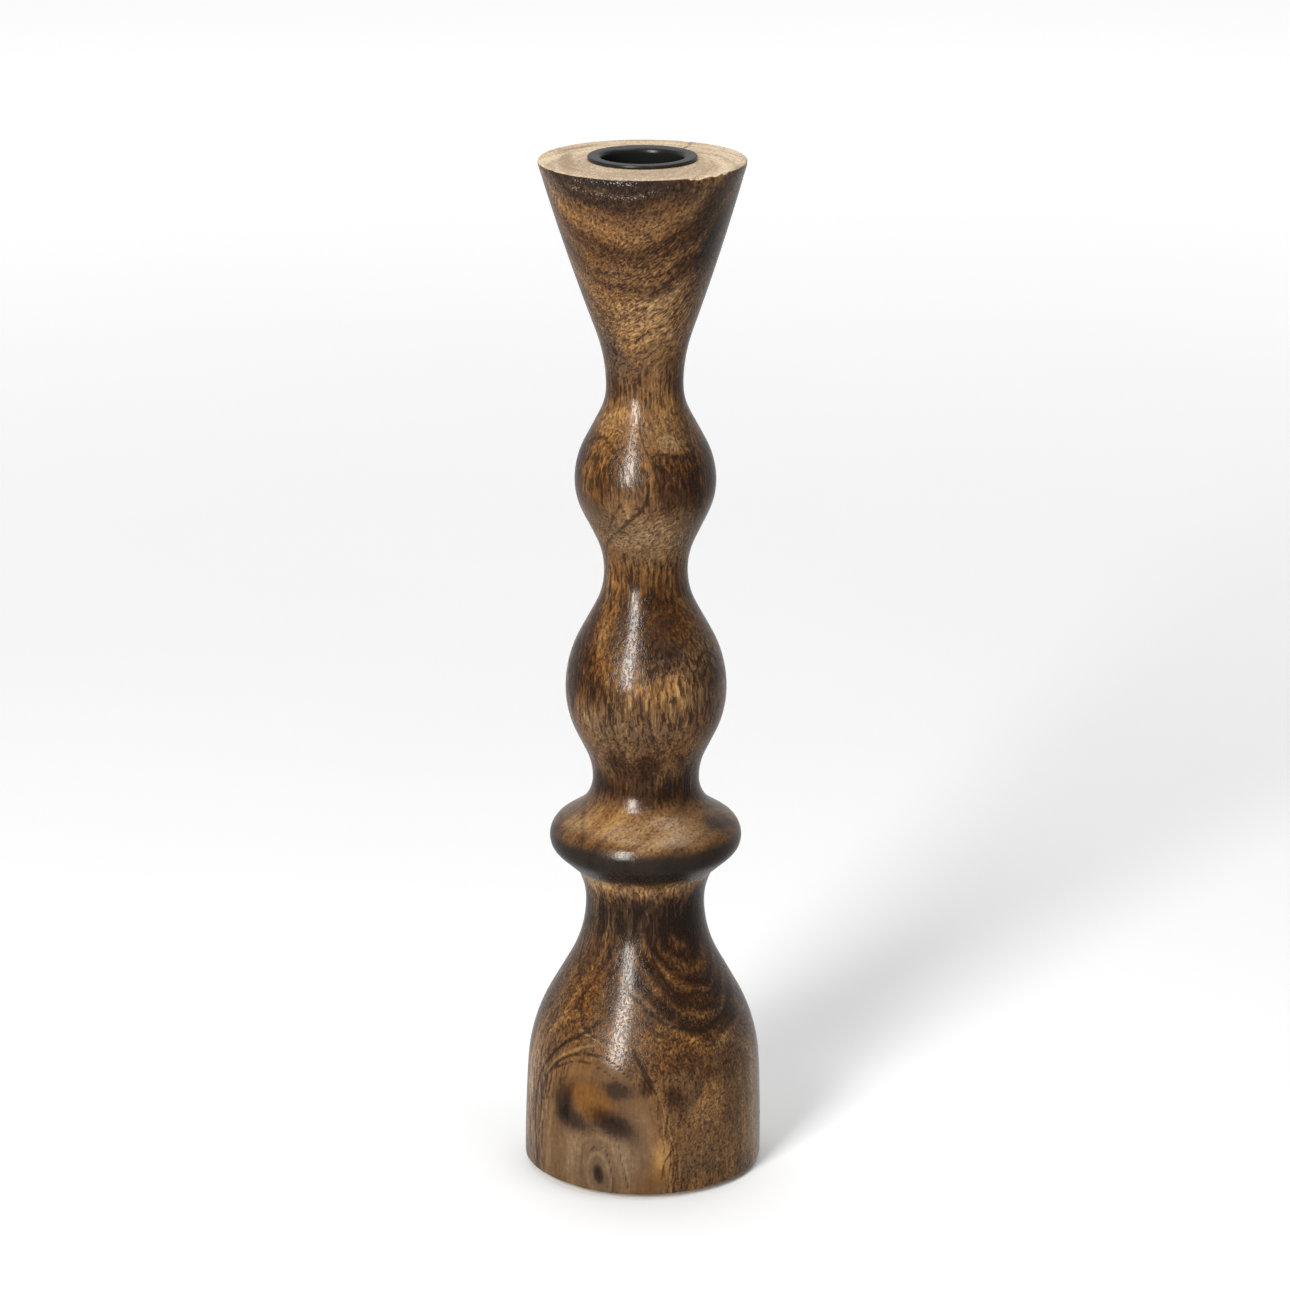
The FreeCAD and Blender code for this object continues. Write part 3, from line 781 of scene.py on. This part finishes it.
def figure(skin, offset):
    """The attributes that the wood's finish reads, one number per vertex each.

    ring: distance in mm from the heart of the tree, which wanders round the stick; over the head it is
    a stack of shallow bowls, and round the knot a stack of ovals. tone: how pale. warm: how golden.
    line, gold: how strongly dark and golden lines are drawn. calm: where pores are few, dots: where
    they are short, and lean: where they lean. char: where the rim is scorched, and where the collar's
    lower half and underside are near-black, partly scorched wood and partly painted shade. speck: where
    the varnish is chipped, painted as near-white glints. back: 1 behind, 0 in front. top: depth in mm
    below the raw wood, which is 0 on top, on the underside and inside the socket, and less in a chip.
    """
    heights, turns = np.asarray(HEART, float).T
    turn = np.radians(through(skin.height, heights, turns)) + math.pi
    ring = np.hypot(skin.x - offset * np.sin(turn), skin.y + offset * np.cos(turn)) - offset

    bowl = skin.height - 0.95 * skin.radius * (1.0 - np.cos(np.radians(skin.angle + 15.0)))
    head = rise(skin.height, 226.0, 246.0)
    ring = ring + head * (11.5 + 0.45 * (bowl - 236.0) - ring)
    places, paleness = np.asarray(HEAD_BANDS, float).T
    tone = 0.47 * through(bowl, places, paleness) * head * (0.5 + 0.5 * np.cos(np.radians(skin.angle)))
    places, paleness = np.asarray(TURNED_TONES, float).T
    tone = tone + through(skin.height, places, paleness)
    across, up = skin.away(43.0, 77.0)
    places, paleness = np.asarray(EYE_RINGS, float).T
    eye = np.hypot(across, up / 1.45) + 0.5 * wave(skin.x * 0.3, skin.height * 0.3, 9)
    tone = tone + 0.8 * through(eye, places, paleness) * skin.patch(38, 60, 25, 19)
    warm = np.zeros_like(tone)
    for *place, pale, golden in PATCHES:
        weight = skin.patch(*place)
        tone = tone + pale * weight
        warm = warm + golden * weight

    across, up = skin.away(-24.0, 8.0)
    knot = np.hypot(across / 21.5, np.maximum(up, 0.35 * up) / 35.0)
    reach = np.where(across > 0, 1.16, 1.42)
    within = rise(reach - knot, 0.0, 0.22)
    ring = ring + within * (14.0 - 10.0 * knot - ring)
    eye_across, eye_up = skin.away(-22.0, 7.0)
    eye = np.hypot(eye_across, eye_up / 1.5)
    ring = ring + rise(13.0 - eye, 0.0, 8.0) * (2.0 + 0.9 * eye - ring)
    shake = 0.8 * wave(skin.x * 0.3, skin.height * 0.3, 5)
    tone = tone + 0.04 * np.sin(3.6 * eye + shake) * rise(14.0 - eye, 0.0, 7.0)

    # top edge of the near-black band on the collar, which is partly scorched wood and partly painted shade
    scorch_and_shade_top = 100.0 + 0.5 * wave(skin.x * 0.2, skin.y * 0.2, 8)
    return {
        "ring": ring,
        "tone": tone,
        "warm": warm,
        "line": skin.drawn(LINES),
        "gold": skin.drawn(GOLDEN_LINES),
        "calm": np.clip(
            skin.patch(-50, 197, 8, 4, 20) + rise(1.0 - knot, 0.0, 0.15) + 0.5 * skin.patch(0, 100, 90, 12),
            0.0,
            1.0,
        ),
        # the collar's lower half and underside near-black, partly scorched wood and partly painted shade;
        # the band at the rim is scorched wood
        "char": np.maximum(
            rise(scorch_and_shade_top - skin.true_height, -1.8, 1.0) * rise(skin.true_height, 88.2, 91.5),
            0.8 * rise(skin.height, 287.6, 290.2) * rise(58.0 - np.abs(skin.angle + 22.0), 0.0, 30.0),
        ),
        "dots": np.clip(rise(skin.height, 234.0, 240.0) + skin.shared(SHORT_PORES), 0.0, 1.0),
        "lean": np.clip(skin.shared(LEANING_PORES), 0.0, 1.0),
        "back": 0.5 - 0.5 * np.cos(np.radians(skin.angle)),
        "speck": skin.drawn(CHIP_GLINT_LINES),
        "top": np.where(
            (skin.radius < 14.0) & (skin.true_height > 260.0) | (skin.true_height < WOOD_LOW[2] / MM + 0.01),
            0.0,
            WOOD_HIGH[2] / MM - skin.true_height - 3.0 * skin.dented(RIM_CHIPS),
        ),
    }


def wood_path(settings):
    """The outline from the lathe's mark underneath, up the side, over the head, down the socket."""
    low, high = WOOD_LOW[2], WOOD_HIGH[2]
    heights = np.linspace(low + 0.6 * MM, high - settings.rim_round, settings.rows)
    radii = side_radius(heights)
    foot, rim = radii[0], radii[-1]
    socket = BORE_RADIUS + SOCKET_GAP
    floor = high - SOCKET_DEPTH
    return np.vstack(
        [
            run((0.15 * MM, low + MARK_DEPTH - 0.1 * MM), (MARK_RADIUS, low + 0.1 * MM), 4),
            run((2.4 * MM, low), (foot - 2.0 * MM, low), 12),
            corner((0, low), (foot, low), (foot, high), 0.6 * MM, 4),
            np.stack([radii, heights], axis=1)[1:],
            corner((rim, low), (rim, high), (0, high), settings.rim_round, 4)[1:],
            run((rim - 1.2 * MM, high), (socket + 1.2 * MM, high), 24),
            corner((rim, high), (socket, high), (socket, floor), 0.8 * MM, 3),
            run((socket, high - 2.5 * MM), (socket, floor + 0.5 * MM), 3),
            corner((socket, high), (socket, floor), (0, floor), 0.3 * MM, 3),
            run((socket - 2.0 * MM, floor), (1.0 * MM, floor), 2),
        ]
    )


DARK_PORE = (0.014, 0.007, 0.004)
# near-black of scorched wood, also used as painted shade under the collar
SCORCH_AND_SHADE = (0.012, 0.010, 0.009)
YELLOW_EDGE = (0.36, 0.22, 0.08)
# near-white of the chipped varnish: a painted highlight, the glint on the chipped edges
CHIP_GLINT = (0.75, 0.72, 0.66)
GREY_BROWN = [  # how pale, and its colour
    (0.00, (0.012, 0.007, 0.005)),
    (0.25, (0.040, 0.023, 0.014)),
    (0.50, (0.115, 0.070, 0.038)),
    (0.75, (0.260, 0.170, 0.095)),
    (1.00, (0.420, 0.300, 0.180)),
]
GOLDEN_BROWN = [
    (0.00, (0.016, 0.006, 0.002)),
    (0.25, (0.058, 0.022, 0.006)),
    (0.50, (0.165, 0.072, 0.018)),
    (0.75, (0.370, 0.200, 0.062)),
    (1.00, (0.560, 0.350, 0.130)),
]
SANDED = [
    (0.10, (0.31, 0.225, 0.15)),
    (0.42, (0.56, 0.435, 0.295)),
    (0.75, (0.66, 0.54, 0.40)),
]


def wood_material(settings):
    """Figured, stained and varnished hardwood, with raw end grain on top."""
    finish = Finish("varnished_wood")
    place = finish.position()
    x, y, z = (finish.node("ShaderNodeSeparateXYZ", {}, {0: place}, axis) for axis in "XYZ")
    calm, warm, char, back = (finish.attribute(name) for name in ("calm", "warm", "char", "back"))
    top = finish.attribute("top")

    drift = finish.noise(place, 90.0, 2.0) - 0.5
    tremble = finish.noise(place, 420.0, 3.0, 0.6) - 0.5
    ring = finish.attribute("ring") + drift * 3.5 + tremble * 0.8
    along = finish.node("ShaderNodeCombineXYZ", {}, {0: ring, 1: x * 30.0 + z * 6.0, 2: y * 30.0})
    sway = finish.vector("SCALE", finish.noise_colour(place, 260.0), 0.0014)
    turn = {"rotation_type": "Y_AXIS"}
    across = finish.node("ShaderNodeVectorRotate", turn, {0: place, 3: settings.lean})
    dashes, dots, slanted = (
        finish.noise(
            finish.vector("ADD", finish.vector("MULTIPLY", where, (1.0, 1.0, 1.0 / length)), sway),
            scale,
            2.0,
            0.65,
        )
        for where, length, scale in (
            (place, settings.pore_length, 1300.0),
            (place, 1.8, 1600.0),
            (across, 2.94, 1750.0),
        )
    )
    short = finish.attribute("dots")
    grain = dashes * (1.0 - short) + dots * short
    lean = finish.attribute("lean")
    grain = grain * (1.0 - lean) + slanted * lean
    pores = finish.step(grain, 0.49, 0.61) * (1.0 - calm * 0.85)
    flecks = finish.step(grain, 0.46, 0.32) * (1.0 - calm * 0.85)

    zones = finish.noise(along, 0.28, 2.0, 0.55) - 0.5
    layers = finish.noise(along, 1.2, 3.0, 0.65) - 0.5
    streaks = finish.noise(finish.vector("MULTIPLY", place, (1.0, 1.0, 0.05)), 900.0, 3.0, 0.6) - 0.5
    mottle = finish.noise(place, 700.0, 2.0, 0.6) - 0.5
    tone = 0.375 + zones * (0.45 + back * 0.5) + layers * (0.38 - calm * 0.34) + mottle * 0.2
    tone = tone + streaks * (0.55 - calm * 0.53) * (1.0 - short * 0.5)
    tone = tone + finish.attribute("tone") * 0.85 + flecks * 0.17 - pores * 0.20

    hue = finish.step(warm + drift * 0.8 + layers * 0.8, -0.7, 0.7)
    colour = finish.mix(hue, finish.ramp(tone, GREY_BROWN), finish.ramp(tone, GOLDEN_BROWN))

    colour = finish.mix(pores * 0.34, colour, DARK_PORE)
    frayed = tremble * 0.5 + drift * 0.3
    line = finish.step(finish.attribute("line") + frayed, 0.12, 0.7)
    gold = finish.step(finish.attribute("gold") + frayed, 0.2, 0.9)
    colour = finish.mix(gold * 0.4, colour, YELLOW_EDGE)
    colour = finish.mix(line * 0.78, colour, DARK_PORE)
    # near-black over the collar's lower half and underside, partly scorched wood and partly painted shade,
    # and over the scorched band at the rim
    colour = finish.mix(char * 0.93, colour, SCORCH_AND_SHADE)
    # chipped varnish along the rim, painted as near-white glints: a painted highlight on the chipped edges
    chips = finish.step(finish.noise(place, 2300.0, 2.0), 0.58, 0.66) * finish.attribute("speck")
    colour = finish.mix(chips * 0.65, colour, CHIP_GLINT)

    raw = finish.step(top + tremble * 0.4, 0.45, 0.15)
    sanded = finish.ramp(tone + drift * 0.3, SANDED)
    pits = finish.step(finish.noise(place, 900.0, 3.0, 0.7), 0.56, 0.70)
    sanded = finish.mix(pits * 0.55, sanded, (0.10, 0.06, 0.035))
    sanded = finish.mix(line * 0.75, sanded, (0.05, 0.03, 0.02))
    colour = finish.mix(raw, colour, sanded)

    rough = 0.17 + pores * 0.12 + mottle * 0.08 + char * 0.05
    rough = finish.node("ShaderNodeMix", {"data_type": "FLOAT"}, {0: raw, 2: rough, 3: 0.85})
    relief = (1.0 - pores) + mottle * 0.5 - line * 0.8 * (1.0 - raw) - pits * raw
    return finish.surface(
        {
            "Base Color": colour,
            "Roughness": rough,
            "Specular IOR Level": 0.3,
            "Specular Tint": (1.0, 0.93, 0.85, 1.0),
            "Coat Weight": (1.0 - raw) * settings.gloss,
            "Coat Roughness": 0.15,
            "Normal": finish.bump(relief, 0.00004, 0.7),
        }
    )


def store(piece, name, values):
    """Keeps one number per vertex as an attribute; the two poles take the values of their rows."""
    attribute = piece.data.attributes.new(name, "FLOAT", "POINT")
    flat = np.concatenate([values.ravel(), values[0, :1], values[-1, :1]])
    attribute.data.foreach_set("value", flat.astype(np.float32))


class CANDLESTICK_OT_wood(bpy.types.Operator):
    """Turn the stick and draw its figure"""

    bl_idname = "candlestick.wood"
    bl_label = "Turned Wood"

    def execute(self, context):
        settings = context.scene.candlestick_wood
        path = wood_path(settings)
        angles = front_angles(settings.columns)
        skin = Skin(path, angles)
        grid = turned(path, angles)
        share = (grid[..., 2] - WOOD_LOW[2]) / (WOOD_HIGH[2] - WOOD_LOW[2])
        grid[..., 0] += settings.bow * np.sin(np.pi * np.clip(share, 0.0, 1.0))
        worn = skin.dented(RIM_CHIPS) + skin.dented(DENTS)
        grid[..., :2] *= (1.0 - worn / skin.radius)[..., None]
        grid[..., 2] -= 0.5 * MM * skin.dented(RIM_CHIPS)
        low, high = (0, 0, WOOD_LOW[2] + MARK_DEPTH), (0, 0, path[-1, 1])
        points, faces = closed_skin(grid, low, high)
        piece = new_mesh("turned_wood", points, faces, wood_material(settings))
        for name, values in figure(skin, settings.pith_offset / MM).items():
            store(piece, name, values)
        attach(piece, "stand")
        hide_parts("turned_body")
        return {"FINISHED"}


# -------------------------------------------------------------------------------------- the candle cup


def cup_path(settings):
    """The outline from under the floor, up the outside, over the flange and lip and down the inside."""
    low, high = CUP_LOW[2], CUP_HIGH[2]
    flange = CUP_HIGH[0]
    outside = BORE_RADIUS + settings.wall
    under = WOOD_HIGH[2]
    floor = low + settings.wall
    lip = settings.lip_round
    edge = (high - under) * 0.5
    return np.vstack(
        [
            run((1.0 * MM, low), (outside - 3.2 * MM, low), 4),
            corner((0, low), (outside, low), (outside, high), 2.5 * MM, 9),
            run((outside, low + 3.2 * MM), (outside, under - 1.0 * MM), 8),
            corner((outside, low), (outside, under), (flange, under), 0.4 * MM, 4),
            run((outside + 0.7 * MM, under), (flange - edge - 0.2 * MM, under), 4),
            corner((outside, under), (flange, under), (flange, high), edge * 0.98, 6),
            corner((flange, under), (flange, high), (0, high), edge * 0.98, 6)[1:],
            run((flange - edge - 0.1 * MM, high - 0.01 * MM), (BORE_RADIUS + lip + 0.1 * MM, high), 6),
            corner((flange, high), (BORE_RADIUS, high), (BORE_RADIUS, low), lip, 9),
            run((BORE_RADIUS, high - lip - 0.6 * MM), (BORE_RADIUS, floor + 2.2 * MM), 14),
            corner((BORE_RADIUS, high), (BORE_RADIUS, floor), (0, floor), 1.6 * MM, 8),
            run((BORE_RADIUS - 2.4 * MM, floor), (1.0 * MM, floor), 5),
        ]
    )


def cup_material(settings):
    """Black enamel: glossy inside, rubbed to satin on the flange."""
    finish = Finish("black_enamel")
    place = finish.position()
    cloud = finish.noise(place, 260.0, 3.0)
    orange_peel = finish.noise(place, 1800.0, 2.0)
    height = finish.node("ShaderNodeSeparateXYZ", {}, {0: place}, "Z")
    on_top = finish.step(height, CUP_HIGH[2] - 2.2 * MM, CUP_HIGH[2] - 0.7 * MM)
    worn = finish.step(cloud, 0.45, 0.75) * on_top
    colour = finish.mix(worn * 0.5, tuple(settings.enamel), (0.030, 0.031, 0.027))
    return finish.surface(
        {
            "Base Color": colour,
            "Roughness": 0.12 + on_top * 0.16 + cloud * 0.06,
            "Specular IOR Level": 0.25,
            "Normal": finish.bump(orange_peel, 0.00002, 0.3),
        }
    )


class CANDLESTICK_OT_cup(bpy.types.Operator):
    """Draw the steel candle cup"""

    bl_idname = "candlestick.cup"
    bl_label = "Candle Cup"

    def execute(self, context):
        settings = context.scene.candlestick_cup
        path = cup_path(settings)
        grid = turned(path, even_angles(settings.columns))
        poles = (0, 0, path[0, 1]), (0, 0, path[-1, 1])
        points, faces = closed_skin(grid, *poles)
        piece = new_mesh("steel_cup", points, faces, cup_material(settings))
        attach(piece, "cup")
        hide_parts("candle_cup")
        return {"FINISHED"}


# ---------------------------------------------------------------------------------------- the felt dots


def felt_material(settings):
    """Pressed wool felt: matted fibres in two browns."""
    finish = Finish("felt")
    place = finish.position()
    mat = finish.noise(place, 1400.0, 4.0, 0.7, 1.5)
    fibres = finish.noise(place, 5200.0, 3.0, 0.7, 2.5)
    dark = tuple(0.45 * c for c in settings.colour)
    colour = finish.mix(finish.step(mat * 0.5 + fibres * 0.5, 0.35, 0.65), dark, tuple(settings.colour))
    return finish.surface(
        {
            "Base Color": colour,
            "Roughness": 0.95,
            "Sheen Weight": 0.35,
            "Sheen Roughness": 0.5,
            "Normal": finish.bump(mat + fibres, 0.00015, 0.8),
        }
    )


def felt_dot(node, fuzz, rng):
    """A cut disc of felt: rings pressed flat on both faces, its edge worn round and uneven.

    The edge's radius is the disc's, less a few sines of the angle; the lower face sinks in by the same
    kind of sines, and never leaves the frame's box.
    """
    low, high = (np.array(c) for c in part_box(node))
    centre, radius = (low + high) / 2, (high[0] - low[0]) / 2
    thick = high[2] - low[2]
    angles = even_angles(72)
    waves = sum(
        rng.uniform(0.2, 1.0) * np.sin(k * angles + rng.uniform(0, 2 * np.pi)) / k for k in range(3, 30)
    )
    edge = radius - fuzz * (1.0 + 0.6 * waves / np.abs(waves).max())
    path = np.vstack(
        [
            run((0.12, 0.0), (0.86, 0.0), 9),
            corner((0, 0), (1.0, 0.0), (1.0, 1.0), 0.08, 5),
            run((1.0, 0.25), (0.99, 0.75), 3),
            corner((1.0, 0), (0.985, 1.0), (0, 1.0), 0.05, 4),
            run((0.9, 1.0), (0.12, 1.0), 9),
        ]
    )
    reach, level = path[:, :1] * edge, path[:, 1:] + 0.0 * angles
    dimple = 0.3 * fuzz * (0.5 + 0.5 * np.sin(7 * angles + 40.0 * path[:, :1]))
    height = low[2] + level * thick + np.where(level < 0.02, dimple * path[:, :1] ** 4, 0.0)
    grid = np.stack(
        [centre[0] + reach * np.sin(angles), centre[1] - reach * np.cos(angles), height], axis=-1
    )
    return closed_skin(grid, (*centre[:2], low[2]), (*centre[:2], high[2]))


class CANDLESTICK_OT_felt(bpy.types.Operator):
    """Cut the felt dots under the foot"""

    bl_idname = "candlestick.felt"
    bl_label = "Felt Dots"

    def execute(self, context):
        settings = context.scene.candlestick_felt
        material = felt_material(settings)
        rng = np.random.default_rng(7)
        for node in PADS:
            points, faces = felt_dot(node, settings.fuzz, rng)
            piece = new_mesh(node.replace("pad", "dot"), points, faces, material)
            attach(piece, "stand")
            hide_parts(node)
        return {"FINISHED"}


# ----------------------------------------------------------------------------------------- the studio


LAMPS = [  # name, direction, elevation, distance, width, height and the setting for its brightness
    ("key", -28.0, 22.0, 1.3, 0.34, 0.92, "key_strength"),
    ("side", 60.0, 64.0, 1.3, 0.70, 0.70, "side_strength"),
    ("overhead", 180.0, 72.0, 1.2, 1.1, 1.1, "top_strength"),
]
FLOOR_REACH = 3.0  # from the middle of the pale floor to its edges


def softbox(name, direction, elevation, distance, width, height, radiance):
    """A rectangular light that looks at the middle of the stick from a direction and an elevation."""
    light = bpy.data.lights.new(name, "AREA")
    light.shape = "RECTANGLE"
    light.size, light.size_y = width, height
    light.energy = radiance * width * height * math.pi
    lamp = bpy.data.objects.new(name, light)
    lamp.visible_camera = False
    a, e = math.radians(direction), math.radians(elevation)
    middle = (CAD_BOX[0][2] + CAD_BOX[1][2]) / 2
    lamp.location = (
        distance * math.cos(e) * math.sin(a),
        -distance * math.cos(e) * math.cos(a),
        middle + distance * math.sin(e),
    )
    lamp.rotation_euler = (math.pi / 2 - e, 0.0, a)
    bpy.context.scene.collection.objects.link(lamp)


class CANDLESTICK_OT_studio(bpy.types.Operator):
    """Set the camera, the lights and the pale floor"""

    bl_idname = "candlestick.studio"
    bl_label = "Studio"

    def execute(self, context):
        settings = context.scene.candlestick_studio
        camera = bpy.data.objects.new("camera", bpy.data.cameras.new("camera"))
        camera.location = (0.7 * MM, -settings.camera_distance, settings.camera_height)
        camera.rotation_euler = (math.pi / 2 - settings.camera_tilt, 0.0, 0.0)
        camera.data.lens = settings.lens
        camera.data.sensor_width = 36.0
        context.scene.collection.objects.link(camera)
        context.scene.camera = camera
        context.scene.view_settings.view_transform = "Standard"

        world = bpy.data.worlds.new("white_room")
        world.use_nodes = True
        tree = world.node_tree
        background = tree.nodes["Background"]
        background.inputs["Color"].default_value = (1.0, 1.0, 1.0, 1.0)
        direction = tree.nodes.new("ShaderNodeTexCoord")
        parts = tree.nodes.new("ShaderNodeSeparateXYZ")
        level = tree.nodes.new("ShaderNodeMapRange")
        for socket, value in zip(level.inputs[1:5], (0.0, 0.8, settings.front, settings.backdrop)):
            socket.default_value = value
        tree.links.new(direction.outputs["Generated"], parts.inputs[0])
        tree.links.new(parts.outputs["Y"], level.inputs[0])
        tree.links.new(level.outputs[0], background.inputs["Strength"])
        context.scene.world = world

        for *place, strength in LAMPS:
            softbox(*place, getattr(settings, strength))

        finish = Finish("pale_floor")
        place = finish.position()
        shade = finish.mix(finish.noise(place, 3.0), (0.80, 0.80, 0.80), (0.84, 0.84, 0.84))
        away = finish.node("ShaderNodeVectorMath", {"operation": "LENGTH"}, {0: place}, "Value")
        glow = finish.mix(finish.step(away, 0.2, 1.8), (0.0, 0.0, 0.0), (0.68, 0.68, 0.68))
        material = finish.surface(
            {"Base Color": shade, "Roughness": 0.9, "Emission Color": glow, "Emission Strength": 1.0}
        )
        corners = FLOOR_REACH * np.array([(-1, -1, 0), (1, -1, 0), (1, 1, 0), (-1, 1, 0)], float)
        floor = new_mesh("floor", corners, [(0, 1, 2, 3)], material)
        floor.visible_glossy = False  # the varnish mirrors the lights and the room, not the pale floor
        return {"FINISHED"}


# ------------------------------------------------------------------------------------ panel and script


class CANDLESTICK_PT_panel(bpy.types.Panel):
    """Builds the candlestick, one step at a time"""

    bl_idname = "CANDLESTICK_PT_panel"
    bl_label = "Wooden Candlestick"
    bl_space_type = "VIEW_3D"
    bl_region_type = "UI"
    bl_category = "Candlestick"

    def draw(self, context):
        for settings, operator, label in STEPS:
            box = self.layout.box()
            group = getattr(context.scene, settings)
            for key in group.bl_rna.properties.keys():
                if key not in ("rna_type", "name"):
                    box.prop(group, key)
            box.operator(operator, text=label)


STEPS = [
    ("candlestick_wood", "candlestick.wood", "Turn the Wood"),
    ("candlestick_cup", "candlestick.cup", "Draw the Cup"),
    ("candlestick_felt", "candlestick.felt", "Cut the Felt"),
    ("candlestick_studio", "candlestick.studio", "Set the Studio"),
]
GROUPS = {
    "candlestick_wood": WoodSettings,
    "candlestick_cup": CupSettings,
    "candlestick_felt": FeltSettings,
    "candlestick_studio": StudioSettings,
}
OPERATORS = [CANDLESTICK_OT_wood, CANDLESTICK_OT_cup, CANDLESTICK_OT_felt, CANDLESTICK_OT_studio]


def register():
    """Tells Blender of the settings, the operators and the panel."""
    for name, group in GROUPS.items():
        bpy.utils.register_class(group)
        setattr(bpy.types.Scene, name, PointerProperty(type=group))
    for kind in (*OPERATORS, CANDLESTICK_PT_panel):
        bpy.utils.register_class(kind)


def unregister():
    """Takes back what register() did."""
    for kind in (CANDLESTICK_PT_panel, *reversed(OPERATORS)):
        bpy.utils.unregister_class(kind)
    for name, group in reversed(GROUPS.items()):
        delattr(bpy.types.Scene, name)
        bpy.utils.unregister_class(group)


def main():
    """Builds the candlestick."""
    register()
    for _, operator, _ in STEPS:
        group, name = operator.split(".")
        getattr(getattr(bpy.ops, group), name)()


if __name__ == "__main__":
    main()
